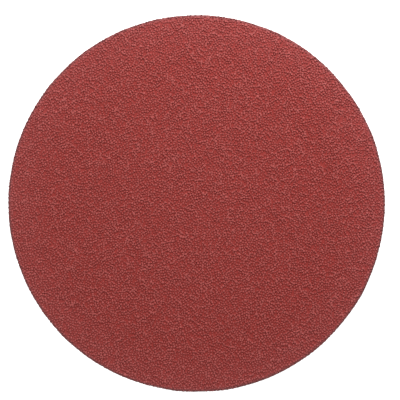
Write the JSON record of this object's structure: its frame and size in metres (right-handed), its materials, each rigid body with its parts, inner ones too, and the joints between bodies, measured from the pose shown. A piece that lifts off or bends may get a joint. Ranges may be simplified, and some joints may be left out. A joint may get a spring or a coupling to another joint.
{
  "type": "hook and loop sanding disc",
  "caption": "Round sanding disc of abrasive paper with a loop fabric back, which a sander's hook pad holds.",
  "frame": {"origin": "middle of the loop side, on the surface that the disc lies on", "axes": "+Z along the disc's axis, out of the grit face; +Y is up in the picture"},
  "size_m": [0.125, 0.125, 0.0019],
  "materials": {
    "grit_red": "rough reddish-brown mineral grain in resin",
    "paper_brown": "matte heavy paper, cut edge",
    "loop_off_white": "brushed knitted loops"
  },
  "bodies": {
    "root": {"grit_coat": "grit_red", "backing_paper": "paper_brown", "loop_fabric": "loop_off_white"}
  },
  "joints": []
}
